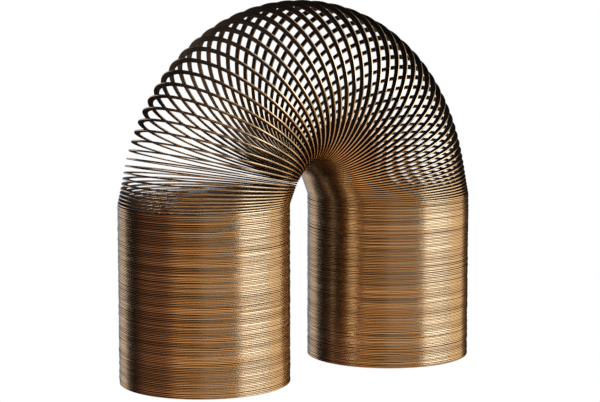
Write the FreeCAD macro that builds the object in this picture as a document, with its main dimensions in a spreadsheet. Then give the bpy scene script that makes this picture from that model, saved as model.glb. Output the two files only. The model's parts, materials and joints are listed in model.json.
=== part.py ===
import FreeCAD, Part
import math
import os
import Sketcher
from FreeCAD import Placement, Rotation, Vector

# One long flat-wire spring, stood as an arch on its two closed stacks.
# X runs from the left foot to the right foot, Y from front to back, Z up.
# The origin is on the surface it stands on, midway between the two feet.
# Lengths are in millimetres.

SIZES = {
    "coil_radius": 34.0,       # to the outside of the wire
    "wire_width": 2.4,         # across the flat wire, towards the coil's axis
    "wire_thickness": 0.56,
    "turn_gap": 0.09,          # light between two closed turns
    "left_height": 71.4,       # top end of the left stack's wire
    "end_lift": 0.2,           # the wire's last end, above its flat foot ring
    "cut_gap": 0.1,            # where one turn's wire stops and the next begins
    "arch_turns": 56,
    "left_taper": 22.83,       # turns over which the arch opens, from the left
    "right_taper": 25.84,      # turns over which it closes again, to the right
    "left_openness": 0.1,      # how far the first turn opens, against the widest
    "right_openness": 0.098,   # the same for the last turn
    "end_slip": 0.296,         # how far an end turn slides inwards on the next
    "crown_slip": 0.078,       # how far a crown turn slides down on the next
}
STEPS_PER_TURN = 24
HALF_CIRCLE = math.pi

doc = FreeCAD.newDocument("spring_coil_toy")
sheet = doc.addObject("Spreadsheet::Sheet", "Sizes")
for row, (alias, value) in enumerate(SIZES.items(), start=1):
    sheet.set("A%d" % row, alias)
    sheet.set("B%d" % row, str(value))
    sheet.setAlias("B%d" % row, alias)
doc.recompute()


def size(alias):
    return float(sheet.get(alias))


# The arch: how the coil bends from straight up to straight down

def smooth(share):
    share = min(max(share, 0.0), 1.0)
    return share * share * (3.0 - 2.0 * share)


def openness(turn):
    from_left = smooth(turn / size("left_taper"))
    from_right = smooth((size("arch_turns") - turn) / size("right_taper"))
    left = size("left_openness") + (1.0 - size("left_openness")) * from_left
    right = size("right_openness") + (1.0 - size("right_openness")) * from_right
    return left * right


def slip(turn):
    along = HALF_CIRCLE * turn / size("arch_turns")
    return -size("end_slip") * math.cos(along) - size("crown_slip") * math.sin(along)


def march_arch():
    # The lean of the turns and the inner edge of the arch, a step at a time
    turns = int(size("arch_turns"))
    pitch = size("wire_thickness") + size("turn_gap")
    middles = [(i + 0.5) / STEPS_PER_TURN for i in range(turns * STEPS_PER_TURN)]
    total = sum(openness(turn) for turn in middles)
    leans = [0.0]
    inner = [Vector(0, 0, size("left_height"))]
    for turn in middles:
        bend = HALF_CIRCLE * openness(turn) / total
        lean = leans[-1] + bend / 2
        along = Vector(math.sin(lean), 0, math.cos(lean))
        outward = Vector(-math.cos(lean), 0, math.sin(lean))
        move = along * pitch + outward * slip(turn)
        inner.append(inner[-1] + move * (1.0 / STEPS_PER_TURN))
        leans.append(leans[-1] + bend)
    span = inner[-1].x - inner[0].x
    inner = [point - Vector(span / 2, 0, 0) for point in inner]
    return leans, inner


LEANS, INNER = march_arch()


def between(values, turn):
    place = turn * STEPS_PER_TURN
    low = min(int(place), len(values) - 2)
    share = place - low
    return values[low] * (1.0 - share) + values[low + 1] * share


def wire_section(turn):
    # The flat wire's rectangle, this many turns along the arch.
    # Each whole number is the innermost point of a turn.
    lean = between(LEANS, turn)
    along = Vector(math.sin(lean), 0, math.cos(lean))
    outward = Vector(-math.cos(lean), 0, math.sin(lean))
    centre = between(INNER, turn) + outward * size("coil_radius")
    angle = 2 * math.pi * turn
    radial = outward * -math.cos(angle) + Vector(0, 1, 0) * math.sin(angle)
    outer = centre + radial * size("coil_radius")
    inner = centre + radial * (size("coil_radius") - size("wire_width"))
    half = along * (size("wire_thickness") / 2)
    return Part.makePolygon([inner - half, outer - half, outer + half, inner + half, inner - half])


def arch_turn(number):
    start = number - 1.0
    trim = size("cut_gap") / 2 / (2 * math.pi * size("coil_radius"))
    places = [start + trim]
    places += [start + i / STEPS_PER_TURN for i in range(1, STEPS_PER_TURN)]
    places += [start + 1.0 - trim]
    sections = [wire_section(place) for place in places]
    turn = doc.addObject("Part::Feature", "arch_turn_%02d" % number)
    turn.Label = "arch_turn_%02d" % number
    turn.Shape = Part.makeLoft(sections, True, False)
    turn.Placement = Placement()
    return turn


# The stacks: closed turns that end on one flat ring

def plane_of(body, role):
    return next(item for item in body.Origin.OriginFeatures if item.Role == role)


def sketch_on(body, role, name):
    sketch = body.newObject("Sketcher::SketchObject", name)
    sketch.AttachmentSupport = [(plane_of(body, role), "")]
    sketch.MapMode = "FlatFace"
    return sketch


def bind(sketch, kind, *rest, to):
    index = sketch.addConstraint(Sketcher.Constraint(kind, *rest))
    sketch.setExpression("Constraints[%d]" % index, to)


def foot_ring(body):
    sketch = sketch_on(body, "XY_Plane", body.Name + "_ring")
    radius = size("coil_radius")
    for index, reach in enumerate((radius, radius - size("wire_width"))):
        sketch.addGeometry(Part.Circle(Vector(0, 0, 0), Vector(0, 0, 1), reach))
        sketch.addConstraint(Sketcher.Constraint("Coincident", index, 3, -1, 1))
    bind(sketch, "Radius", 0, radius, to="Sizes.coil_radius")
    bind(sketch, "Radius", 1, radius - size("wire_width"), to="Sizes.coil_radius - Sizes.wire_width")
    pad = body.newObject("PartDesign::Pad", body.Name + "_foot")
    pad.Profile = sketch
    pad.setExpression("Length", "Sizes.wire_thickness")
    return pad


def closed_turns(body, height_cell):
    # The wire's rectangle at the stack's top end, wound down to the foot ring
    sketch = sketch_on(body, "XZ_Plane", body.Name + "_wire")
    width, thickness = size("wire_width"), size("wire_thickness")
    right = size("coil_radius")
    bottom = size(height_cell) - thickness / 2
    corners = [
        Vector(right - width, bottom, 0),
        Vector(right, bottom, 0),
        Vector(right, bottom + thickness, 0),
        Vector(right - width, bottom + thickness, 0),
    ]
    for index in range(4):
        sketch.addGeometry(Part.LineSegment(corners[index], corners[(index + 1) % 4]))
    for index in range(4):
        sketch.addConstraint(Sketcher.Constraint("Coincident", index, 2, (index + 1) % 4, 1))
        level = "Vertical" if index % 2 else "Horizontal"
        sketch.addConstraint(Sketcher.Constraint(level, index))
    bind(sketch, "DistanceX", 0, 1, 0, 2, width, to="Sizes.wire_width")
    bind(sketch, "DistanceY", 1, 1, 1, 2, thickness, to="Sizes.wire_thickness")
    bind(sketch, "DistanceX", -1, 1, 1, 1, right, to="Sizes.coil_radius")
    bind(sketch, "DistanceY", -1, 1, 0, 1, bottom, to="Sizes.%s - Sizes.wire_thickness / 2" % height_cell)
    turns = body.newObject("PartDesign::AdditiveHelix", body.Name + "_turns")
    turns.Profile = sketch
    turns.ReferenceAxis = (sketch, ["V_Axis"])
    turns.Mode = 0
    turns.setExpression("Pitch", "Sizes.wire_thickness + Sizes.turn_gap")
    turns.setExpression("Height", "Sizes.%s - Sizes.wire_thickness / 2 - Sizes.end_lift" % height_cell)
    turns.Angle = 0
    turns.Growth = 0
    turns.LeftHanded = False
    turns.Reversed = True
    return turns


def stack(name, height_cell, inner_x, facing):
    # facing is 1 where the stack's inner side looks along +X, and -1 where it looks along -X
    body = doc.addObject("PartDesign::Body", name)
    body.Label = name
    foot_ring(body)
    doc.recompute()
    body.Tip = closed_turns(body, height_cell)
    doc.recompute()
    turned = 0 if facing > 0 else 180
    centre = Vector(inner_x - facing * size("coil_radius"), 0, 0)
    body.Placement = Placement(centre, Rotation(Vector(0, 0, 1), turned))
    return body


def note_right_height():
    # The right stack reaches up to where the arch comes down
    row = len(SIZES) + 1
    sheet.set("A%d" % row, "right_height")
    sheet.set("B%d" % row, str(INNER[-1].z))
    sheet.setAlias("B%d" % row, "right_height")
    doc.recompute()


def build():
    note_right_height()
    pieces = [stack("left_stack", "left_height", INNER[0].x, 1)]
    pieces += [arch_turn(number) for number in range(1, int(size("arch_turns")) + 1)]
    pieces.append(stack("right_stack", "right_height", INNER[-1].x, -1))
    doc.recompute()
    return pieces


def check(pieces):
    for item in doc.Objects:
        if "Invalid" in item.State or "Error" in item.State:
            raise RuntimeError("%s did not compute: %s" % (item.Label, item.State))
    for piece in pieces:
        if piece.Shape.isNull() or not piece.Shape.isValid():
            raise RuntimeError("%s has no valid shape" % piece.Label)
        if len(piece.Shape.Solids) != 1:
            raise RuntimeError("%s is not one solid" % piece.Label)


def export(pieces):
    os.makedirs("parts", exist_ok=True)
    for piece in pieces:
        piece.Shape.exportStep("parts/%s.step" % piece.Label)


pieces = build()
check(pieces)
export(pieces)
print("%d pieces, right stack %.2f mm high" % (len(pieces), INNER[-1].z))
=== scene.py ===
import json
import math

import bpy
import numpy as np
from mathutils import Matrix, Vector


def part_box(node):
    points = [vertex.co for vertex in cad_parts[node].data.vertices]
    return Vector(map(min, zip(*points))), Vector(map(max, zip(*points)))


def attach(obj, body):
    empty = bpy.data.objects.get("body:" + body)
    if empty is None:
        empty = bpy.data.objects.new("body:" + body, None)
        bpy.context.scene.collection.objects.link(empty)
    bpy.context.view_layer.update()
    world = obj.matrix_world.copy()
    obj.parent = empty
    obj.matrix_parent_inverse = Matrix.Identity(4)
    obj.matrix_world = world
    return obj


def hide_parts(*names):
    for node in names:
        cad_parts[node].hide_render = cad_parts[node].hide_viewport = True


# A long spring of flat brass wire, stood as an arch on its two closed stacks.
# Metres. X runs from the left foot to the right foot, Y from front to back, Z up.

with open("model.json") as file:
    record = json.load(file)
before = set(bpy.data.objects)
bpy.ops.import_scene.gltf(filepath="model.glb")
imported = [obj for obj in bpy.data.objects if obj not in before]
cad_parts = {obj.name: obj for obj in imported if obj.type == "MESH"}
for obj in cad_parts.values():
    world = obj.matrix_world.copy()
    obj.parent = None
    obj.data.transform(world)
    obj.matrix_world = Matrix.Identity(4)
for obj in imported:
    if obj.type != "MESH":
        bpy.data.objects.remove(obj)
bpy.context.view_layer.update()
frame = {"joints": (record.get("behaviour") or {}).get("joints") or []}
print("frame loaded")

# Camera: from the front left, a little above the top of the stacks

view = {
    "place": (-0.4806, -0.6384, 0.1717),
    "lookDown": 7.34,      # degrees below level
    "turnRight": 37.0,     # degrees from looking straight along +Y
    "lens": 118.4,
    "sensor": 36.0,
    "nearest": 0.01,       # nothing closer than this is drawn
}

bpy.ops.object.select_all(action="DESELECT")
bpy.ops.object.camera_add(
    location=view["place"],
    rotation=(
        math.radians(90 - view["lookDown"]),
        0,
        math.radians(-view["turnRight"]),
    ),
)
camera = bpy.context.object
camera.name = "camera"
camera.data.lens = view["lens"]
camera.data.sensor_width = view["sensor"]
camera.data.clip_start = view["nearest"]
bpy.context.scene.camera = camera
print("camera placed")

# The wire and where it runs

wire = {
    "width": 0.0024,
    "thickness": 0.00055,
    "rounding": 0.00016,
    "roundingSteps": 2,
    "smoothBelow": 50,      # degrees; sharper edges, as at a cut, stay sharp
    "flatWeight": 80,       # how much the flat faces set the shading
    "endGap": 0.00004,      # where one piece of wire stops and the next begins
    "turnLength": 0.211,    # of wire, in one turn
}

stackLow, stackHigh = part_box("left_stack")
coilRadius = (stackHigh.y - stackLow.y) / 2
middleRadius = coilRadius - wire["width"] / 2

bends = sorted(frame["joints"], key=lambda bend: bend["name"])
cutPlaces = np.array([bend["pos_m"] for bend in bends])
closing = np.cumsum([bend["range_deg"][1] for bend in bends])
archTurns = len(bends) - 1
leanTurns = np.concatenate([[0.0], np.arange(archTurns) + 0.5, [archTurns]])
leans = np.pi * np.concatenate([[0.0], closing]) / closing[-1]


def alongArch(turn, reach, rise):
    # turn counts from the top of the left stack, and whole turns are innermost.
    # reach is the distance from the coil's axis, rise the place in its thickness.
    lean = np.interp(turn, leanTurns, leans)
    edgeX = np.interp(turn, np.arange(archTurns + 1), cutPlaces[:, 0])
    edgeZ = np.interp(turn, np.arange(archTurns + 1), cutPlaces[:, 2])
    outward = np.stack([-np.cos(lean), 0 * lean, np.sin(lean)], 1)
    along = np.stack([np.sin(lean), 0 * lean, np.cos(lean)], 1)
    angle = 2 * np.pi * turn
    sideways = np.stack([0 * lean, np.ones_like(lean), 0 * lean], 1)
    radial = sideways * np.sin(angle)[:, None] - outward * np.cos(angle)[:, None]
    centre = np.stack([edgeX, 0 * lean, edgeZ], 1) + outward * middleRadius
    return centre + radial * reach[:, None] + along * rise[:, None]


def windWire(name, turns, steps):
    # The wire's outline on the XZ plane, screwed round Z, closed at both ends
    middle = (middleRadius, 0, 0)
    bpy.ops.object.select_all(action="DESELECT")
    bpy.ops.mesh.primitive_plane_add(
        size=1, location=middle, rotation=(math.pi / 2, 0, 0)
    )
    piece = bpy.context.object
    piece.name = name
    bpy.ops.object.transform_apply(location=True, rotation=True, scale=True)
    bpy.ops.object.mode_set(mode="EDIT")
    bpy.ops.mesh.select_all(action="SELECT")
    bpy.ops.transform.resize(
        value=(wire["width"], 1, wire["thickness"]), center_override=middle
    )
    bpy.ops.mesh.bevel(
        offset=wire["rounding"], segments=wire["roundingSteps"], affect="VERTICES"
    )
    bpy.ops.mesh.delete(type="ONLY_FACE")
    bpy.ops.object.mode_set(mode="OBJECT")
    outline = vertexPlaces(piece)

    winding = piece.modifiers.new("winding", "SCREW")
    winding.axis = "Z"
    winding.angle = 2 * math.pi * turns
    winding.screw_offset = turns * 2 * wire["thickness"]    # clear of itself, for now
    winding.steps = winding.render_steps = steps
    winding.iterations = 1
    bpy.ops.object.modifier_apply(modifier=winding.name)
    bpy.ops.object.mode_set(mode="EDIT")
    bpy.ops.mesh.select_all(action="SELECT")
    bpy.ops.mesh.fill_holes(sides=0)
    bpy.ops.mesh.select_all(action="SELECT")
    bpy.ops.mesh.normals_make_consistent(inside=False)
    bpy.ops.object.mode_set(mode="OBJECT")

    rings = len(piece.data.vertices) // len(outline)
    share = np.repeat(np.arange(rings) / (rings - 1), len(outline))
    reach = np.tile(outline[:, 0], rings)
    rise = np.tile(outline[:, 2], rings)
    return piece, share, reach, rise


def vertexPlaces(piece):
    places = np.zeros(len(piece.data.vertices) * 3)
    piece.data.vertices.foreach_get("co", places)
    return places.reshape(-1, 3)


def shapeWire(piece, places, turn, reach, rise):
    # Moves the wound wire to its places and notes where each point is on the wire
    piece.data.vertices.foreach_set("co", places.ravel())
    onWire = np.stack([turn * wire["turnLength"], reach - middleRadius, rise], 1)
    note = piece.data.attributes.new("placeOnWire", "FLOAT_VECTOR", "POINT")
    note.data.foreach_set("vector", onWire.astype(np.float32).ravel())
    piece.data.update()


def finishWire(piece, node, body):
    bpy.ops.object.select_all(action="DESELECT")
    piece.select_set(True)
    bpy.context.view_layer.objects.active = piece
    bpy.ops.object.shade_smooth_by_angle(angle=math.radians(wire["smoothBelow"]))
    flats = piece.modifiers.new("flats", "WEIGHTED_NORMAL")
    flats.weight = wire["flatWeight"]
    flats.keep_sharp = True
    bpy.ops.object.modifier_apply(modifier=flats.name)
    piece.data.materials.clear()
    piece.data.materials.append(wireMetal)
    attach(piece, body)
    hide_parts(node)


# The metal: flat brass strip. Its two faces carry painted shade, a near-black colour for
# the dark room they mirror, lighter in random worn patches; its rounded edges keep the
# brass colour, dulled at random

brass = {
    "clean": (0.90, 0.70, 0.47, 1),
    "dulled": (0.46, 0.31, 0.18, 1),
    # painted shade: near-black face colours stand in for the dark room the faces mirror;
    # the worn one is lighter, in random patches
    "face": (0.085, 0.058, 0.042, 1),
    "faceShadeWorn": (0.20, 0.14, 0.09, 1),
    "dulledShare": 0.6,
    "ageRange": (0.82, 1.24),           # both noises together, from clean to dulled
    "faceShadeUntil": 1.1,                  # roundings in from the edge, where the faces' painted shade is full
    "edgeBrassFrom": 0.5,                    # and where the edges' brass colour is full
    "edgeRoughness": (0.11, 0.28),
    "faceRoughness": 0.36,
    "lineScale": (70, 22000, 22000),    # drawing lines, long and fine
    "lineDetail": 3,
    "lineStrength": 0.5,
    "lineDepth": 0.000004,
    "patchScale": (5, 120, 120),        # age that follows the wire
    "patchDetail": 4,
    "patchGrain": 0.6,
    "bandScale": (0.7, 60, 60),         # and age that lasts over many turns
    "bandDetail": 2,
}


def addNode(tree, kind, place, **values):
    node = tree.nodes.new(kind)
    node.location = place
    for name, value in values.items():
        setattr(node, name, value)
    return node


def mathNode(tree, operation, first, second):
    node = addNode(tree, "ShaderNodeMath", (0, 0), operation=operation)
    for index, value in enumerate((first, second)):
        if isinstance(value, (int, float)):
            node.inputs[index].default_value = value
        else:
            tree.links.new(value, node.inputs[index])
    return node.outputs["Value"]


def noiseOnWire(tree, onWire, row, scale, detail):
    space = addNode(tree, "ShaderNodeMapping", (-1250, row))
    space.inputs["Scale"].default_value = scale
    noise = addNode(tree, "ShaderNodeTexNoise", (-1000, row))
    noise.inputs["Scale"].default_value = 1
    noise.inputs["Detail"].default_value = detail
    tree.links.new(onWire.outputs["Vector"], space.inputs["Vector"])
    tree.links.new(space.outputs["Vector"], noise.inputs["Vector"])
    return noise


def drawnBrass():
    metal = bpy.data.materials.new("drawn brass")
    metal.use_nodes = True
    tree = metal.node_tree
    shader = tree.nodes["Principled BSDF"]
    shader.inputs["Metallic"].default_value = 1

    onWire = addNode(
        tree, "ShaderNodeAttribute", (-1500, 0), attribute_name="placeOnWire"
    )
    lines = noiseOnWire(tree, onWire, 200, brass["lineScale"], brass["lineDetail"])
    patches = noiseOnWire(tree, onWire, -100, brass["patchScale"], brass["patchDetail"])
    patches.inputs["Roughness"].default_value = brass["patchGrain"]
    bands = noiseOnWire(tree, onWire, -700, brass["bandScale"], brass["bandDetail"])
    both = mathNode(tree, "ADD", patches.outputs["Fac"], bands.outputs["Fac"])
    age = addNode(tree, "ShaderNodeMapRange", (-780, -100))
    age.inputs["From Min"].default_value = brass["ageRange"][0]
    age.inputs["From Max"].default_value = brass["ageRange"][1]
    age.inputs["To Max"].default_value = brass["dulledShare"]
    tree.links.new(both, age.inputs["Value"])

    across = addNode(tree, "ShaderNodeSeparateXYZ", (-1250, -400))
    tree.links.new(onWire.outputs["Vector"], across.inputs["Vector"])
    fromMiddle = mathNode(tree, "ABSOLUTE", across.outputs["Y"], 0)
    # edge mask: 0 on the faces, which carry painted shade, 1 on the rounded edges, which
    # keep the brass colour
    edge = addNode(tree, "ShaderNodeMapRange", (-780, -400))
    for end, roundings in (("Min", brass["faceShadeUntil"]), ("Max", brass["edgeBrassFrom"])):
        place = wire["width"] / 2 - wire["rounding"] * roundings
        edge.inputs["From " + end].default_value = place
    tree.links.new(fromMiddle, edge.inputs["Value"])

    edgeColour = addNode(tree, "ShaderNodeMix", (-560, 100), data_type="RGBA")
    edgeColour.inputs["A"].default_value = brass["clean"]
    edgeColour.inputs["B"].default_value = brass["dulled"]
    tree.links.new(age.outputs["Result"], edgeColour.inputs["Factor"])
    # painted shade on the faces, lighter in random worn patches
    faceShadeColour = addNode(tree, "ShaderNodeMix", (-560, -100), data_type="RGBA")
    faceShadeColour.inputs["A"].default_value = brass["faceShadeWorn"]
    faceShadeColour.inputs["B"].default_value = brass["face"]
    tree.links.new(patches.outputs["Fac"], faceShadeColour.inputs["Factor"])
    colour = addNode(tree, "ShaderNodeMix", (-340, 0), data_type="RGBA")
    tree.links.new(edge.outputs["Result"], colour.inputs["Factor"])
    tree.links.new(faceShadeColour.outputs["Result"], colour.inputs["A"])
    tree.links.new(edgeColour.outputs["Result"], colour.inputs["B"])
    tree.links.new(colour.outputs["Result"], shader.inputs["Base Color"])

    dull = addNode(tree, "ShaderNodeMapRange", (-560, -250))
    dull.inputs["To Min"].default_value = brass["edgeRoughness"][0]
    dull.inputs["To Max"].default_value = brass["edgeRoughness"][1]
    tree.links.new(patches.outputs["Fac"], dull.inputs["Value"])
    gloss = addNode(tree, "ShaderNodeMix", (-340, -200), data_type="FLOAT")
    gloss.inputs["A"].default_value = brass["faceRoughness"]
    tree.links.new(edge.outputs["Result"], gloss.inputs["Factor"])
    tree.links.new(dull.outputs["Result"], gloss.inputs["B"])
    tree.links.new(gloss.outputs["Result"], shader.inputs["Roughness"])
    relief = addNode(tree, "ShaderNodeBump", (-340, -350))
    relief.inputs["Strength"].default_value = brass["lineStrength"]
    relief.inputs["Distance"].default_value = brass["lineDepth"]
    tree.links.new(lines.outputs["Fac"], relief.inputs["Height"])
    tree.links.new(relief.outputs["Normal"], shader.inputs["Normal"])
    return metal


wireMetal = drawnBrass()
print("metal mixed")

# The arch: one turn wound once, then a copy bent to each turn's place

archTurn = {"steps": 120}

masterTurn, turnShare, turnReach, turnRise = windWire("master_turn", 1, archTurn["steps"])
shortBy = wire["endGap"] / wire["turnLength"]
for number in range(1, archTurns + 1):
    node = "arch_turn_%02d" % number
    piece = masterTurn.copy()
    piece.data = masterTurn.data.copy()
    piece.name = piece.data.name = "wire_" + node
    bpy.context.collection.objects.link(piece)
    turn = number - 1 + shortBy / 2 + turnShare * (1 - shortBy)
    shapeWire(piece, alongArch(turn, turnReach, turnRise), turn, turnReach, turnRise)
    finishWire(piece, node, node)
bpy.data.objects.remove(masterTurn)
print("arch of %d turns bent" % archTurns)

# The stacks: turns that lie on each other, with a little air here and there

stacks = {
    "left_stack": {"facing": 1, "seed": 11, "cut": 0, "endAt": 0.853},
    "right_stack": {"facing": -1, "seed": 23, "cut": archTurns, "endAt": 0.353},
}
stackLook = {
    "pitch": 0.00065,
    "stepsPerTurn": 70,
    "tightest": 0.00002,          # air between two turns that lie close
    "evenTurns": 1.5,             # at the top, where the arch's first turn closes
    "airEvery": (0.4, 2.2),       # turns from one open gap to the next
    "airSize": (0.15, 1.0),       # how open each gap is, against the others
    "airSpread": 0.25,            # turns over which a gap opens and shuts
    "wander": 0.00012,            # how far a turn sits off the coil's axis
    "truePlaces": 3,              # the last of them, which sit on it
    "tiltEvery": 0.5,             # turns from one lean of the edge to the next
    "edgeTilt": 0.17,             # the most it leans, as a slope
    "waveTurns": 17,
    "edgeWave": 0.02,             # and how much more over that many turns
}


def airAlong(turns, steps, height, dice):
    # The height of the wire along the stack, from the floor up
    turn = np.linspace(0, turns, steps + 1)
    opening = np.zeros(steps + 1)
    place = dice.uniform(*stackLook["airEvery"])
    while place < turns:
        size = dice.uniform(*stackLook["airSize"])
        opening += size * np.exp(-(((turn - place) / stackLook["airSpread"]) ** 2))
        place += dice.uniform(*stackLook["airEvery"])
    air = np.concatenate([[0], np.cumsum((opening[1:] + opening[:-1]) / 2)])
    close = turn * (wire["thickness"] + stackLook["tightest"])
    meet = np.searchsorted(turn, turns - stackLook["evenTurns"])
    even = height - (turns - turn) * stackLook["pitch"]
    level = close + air / air[meet] * (even[meet] - close[meet])
    level[meet:] = even[meet:]
    return turn, level


def wanderAlong(turn, dice):
    knots = np.arange(0, turn[-1] + 2)
    shifts = dice.uniform(-1, 1, (len(knots), 2)) * stackLook["wander"]
    shifts[-stackLook["truePlaces"]:] = 0
    return np.stack([np.interp(turn, knots, shifts[:, side]) for side in (0, 1)], 1)


def tiltAlong(turn, dice):
    # How far the wire's edge leans up or down, as a slope
    knots = np.arange(0, turn[-1] + 2, stackLook["tiltEvery"])
    tilts = dice.uniform(-1, 1, len(knots)) * stackLook["edgeTilt"]
    wave = np.sin(2 * np.pi * (turn / stackLook["waveTurns"] + dice.uniform(0, 1)))
    return np.interp(turn, knots, tilts) + wave * stackLook["edgeWave"]


def standStack(name):
    facts = stacks[name]
    dice = np.random.default_rng(facts["seed"])
    cut = cutPlaces[facts["cut"]]
    height = cut[2] - wire["thickness"] / 2
    # the wire's end at the floor lies at the back
    turns = round(height / stackLook["pitch"] - facts["endAt"]) + facts["endAt"]
    steps = round(turns * stackLook["stepsPerTurn"])
    piece, _, reach, rise = windWire("wire_" + name, turns, steps)
    turn, level = airAlong(turns, steps, height, dice)
    shift = wanderAlong(turn, dice)
    tilt = tiltAlong(turn, dice)
    ring = len(reach) // (steps + 1)
    # the top end stops just short of the arch's first turn, at the inner side
    turn = np.repeat(turn, ring) * (1 - shortBy / turns)
    level = np.repeat(level, ring) + wire["thickness"] / 2 + rise
    shift = np.repeat(shift, ring, 0)
    tilted = reach + rise * np.repeat(tilt, ring)
    angle = 2 * np.pi * (turn - turns) + (0 if facts["facing"] > 0 else np.pi)
    middleX = cut[0] - facts["facing"] * middleRadius
    places = np.stack(
        [
            middleX + tilted * np.cos(angle) + shift[:, 0],
            tilted * np.sin(angle) + shift[:, 1],
            level,
        ],
        1,
    )
    onWire = turn - turns if facts["facing"] > 0 else archTurns + turns - turn
    shapeWire(piece, places, onWire, reach, rise)
    finishWire(piece, name, name)
    print("%s wound, %.0f turns" % (name, turns))


for stackName in stacks:
    standStack(stackName)

# Floor and light: a light table, and a dim room with a window on the right

studio = {
    "floorSize": 40,
    "floorLight": 1.0,
    "behind": (1.0, 1.0, 1.0, 1),
    "dimRoom": (0.012, 0.010, 0.009),
}
# Each card is centred at an angle to the right of the camera's side of the toy
# and at a height above level, and fades over "soft" degrees. All in degrees.
cards = {
    "window": {"around": 76, "wide": 48, "height": 24, "tall": 44, "soft": 5,
               "colour": (0.95, 0.98, 1.0), "light": 3.0},
    "windowCurtain": {"around": 116, "wide": 34, "height": 14, "tall": 60, "soft": 8,
                      "colour": (1.0, 0.82, 0.56), "light": 1.0},
    "tableInFront": {"around": 10, "wide": 104, "height": -52, "tall": 80, "soft": 24,
                     "colour": (1.0, 0.58, 0.26), "light": 0.83},
    "tableAtLeft": {"around": -66, "wide": 64, "height": -52, "tall": 80, "soft": 24,
                    "colour": (1.0, 0.48, 0.28), "light": 0.34},
    "tableByWindow": {"around": 86, "wide": 56, "height": -50, "tall": 76, "soft": 14,
                      "colour": (1.0, 0.85, 0.62), "light": 0.62},
    "tableBehind": {"around": 132, "wide": 38, "height": -50, "tall": 76, "soft": 14,
                    "colour": (1.0, 0.50, 0.20), "light": 0.45},
    "doorway": {"around": -138, "wide": 26, "height": -10, "tall": 44, "soft": 8,
                "colour": (1.0, 0.90, 0.85), "light": 0.75},
    "farWall": {"around": -166, "wide": 30, "height": 0, "tall": 24, "soft": 10,
                "colour": (0.55, 0.75, 1.0), "light": 0.5},
    "ceiling": {"around": 80, "wide": 170, "height": 68, "tall": 44, "soft": 20,
                "colour": (0.85, 0.92, 1.0), "light": 0.9},
}

bpy.ops.object.select_all(action="DESELECT")
bpy.ops.mesh.primitive_plane_add(size=studio["floorSize"])
floor = bpy.context.object
floor.name = "floor"
floor.visible_glossy = False       # the wire mirrors the room's cards, not the floor
floor.visible_shadow = False
floorPaint = bpy.data.materials.new("light table")
floorPaint.use_nodes = True
floorTree = floorPaint.node_tree
glow = addNode(floorTree, "ShaderNodeEmission", (0, 200))
glow.inputs["Strength"].default_value = studio["floorLight"]
floorOut = floorTree.nodes["Material Output"]
floorTree.links.new(glow.outputs["Emission"], floorOut.inputs["Surface"])
floor.data.materials.append(floorPaint)


def inside(tree, angle, middle, size, soft):
    # 1 within a range of angles, fading to 0 over its edges
    away = mathNode(tree, "ABSOLUTE", mathNode(tree, "SUBTRACT", angle, middle), 0)
    fade = addNode(tree, "ShaderNodeMapRange", (0, 0), interpolation_type="SMOOTHSTEP")
    fade.inputs["From Min"].default_value = (size + soft) / 2
    fade.inputs["From Max"].default_value = max(size - soft, 0) / 2
    tree.links.new(away, fade.inputs["Value"])
    return fade.outputs["Result"]


def lightRoom():
    world = bpy.data.worlds.new("studio")
    bpy.context.scene.world = world
    world.use_nodes = True
    tree = world.node_tree
    tree.nodes.clear()
    direction = addNode(tree, "ShaderNodeTexCoord", (0, 0))
    # turned so that angles start at the camera's side
    facing = addNode(tree, "ShaderNodeMapping", (0, 0))
    turned = math.radians(90 + view["turnRight"])
    facing.inputs["Rotation"].default_value = (0, 0, turned)
    tree.links.new(direction.outputs["Generated"], facing.inputs["Vector"])
    parts = addNode(tree, "ShaderNodeSeparateXYZ", (0, 0))
    tree.links.new(facing.outputs["Vector"], parts.inputs["Vector"])
    around = mathNode(tree, "ARCTAN2", parts.outputs["Y"], parts.outputs["X"])
    around = mathNode(tree, "MULTIPLY", around, 180 / math.pi)
    height = mathNode(tree, "ARCSINE", parts.outputs["Z"], 0)
    height = mathNode(tree, "MULTIPLY", height, 180 / math.pi)
    total = addNode(tree, "ShaderNodeCombineXYZ", (0, 0))
    for index, value in enumerate(studio["dimRoom"]):
        total.inputs[index].default_value = value
    total = total.outputs["Vector"]
    for card in cards.values():
        across = inside(tree, around, card["around"], card["wide"], card["soft"])
        up = inside(tree, height, card["height"], card["tall"], card["soft"])
        shape = mathNode(tree, "MULTIPLY", across, up)
        add = addNode(tree, "ShaderNodeVectorMath", (0, 0), operation="MULTIPLY_ADD")
        add.inputs[0].default_value = [card["light"] * part for part in card["colour"]]
        tree.links.new(shape, add.inputs[1])
        tree.links.new(total, add.inputs[2])
        total = add.outputs["Vector"]
    room = addNode(tree, "ShaderNodeBackground", (0, 0))
    tree.links.new(total, room.inputs["Color"])
    white = addNode(tree, "ShaderNodeBackground", (0, 200))
    white.inputs["Color"].default_value = studio["behind"]
    seen = addNode(tree, "ShaderNodeLightPath", (0, 500))
    either = addNode(tree, "ShaderNodeMixShader", (250, 0))
    out = addNode(tree, "ShaderNodeOutputWorld", (450, 0))
    tree.links.new(seen.outputs["Is Camera Ray"], either.inputs["Fac"])
    tree.links.new(room.outputs["Background"], either.inputs[1])
    tree.links.new(white.outputs["Background"], either.inputs[2])
    tree.links.new(either.outputs["Shader"], out.inputs["Surface"])


lightRoom()
bpy.context.scene.view_settings.view_transform = "Standard"
print("studio lit")
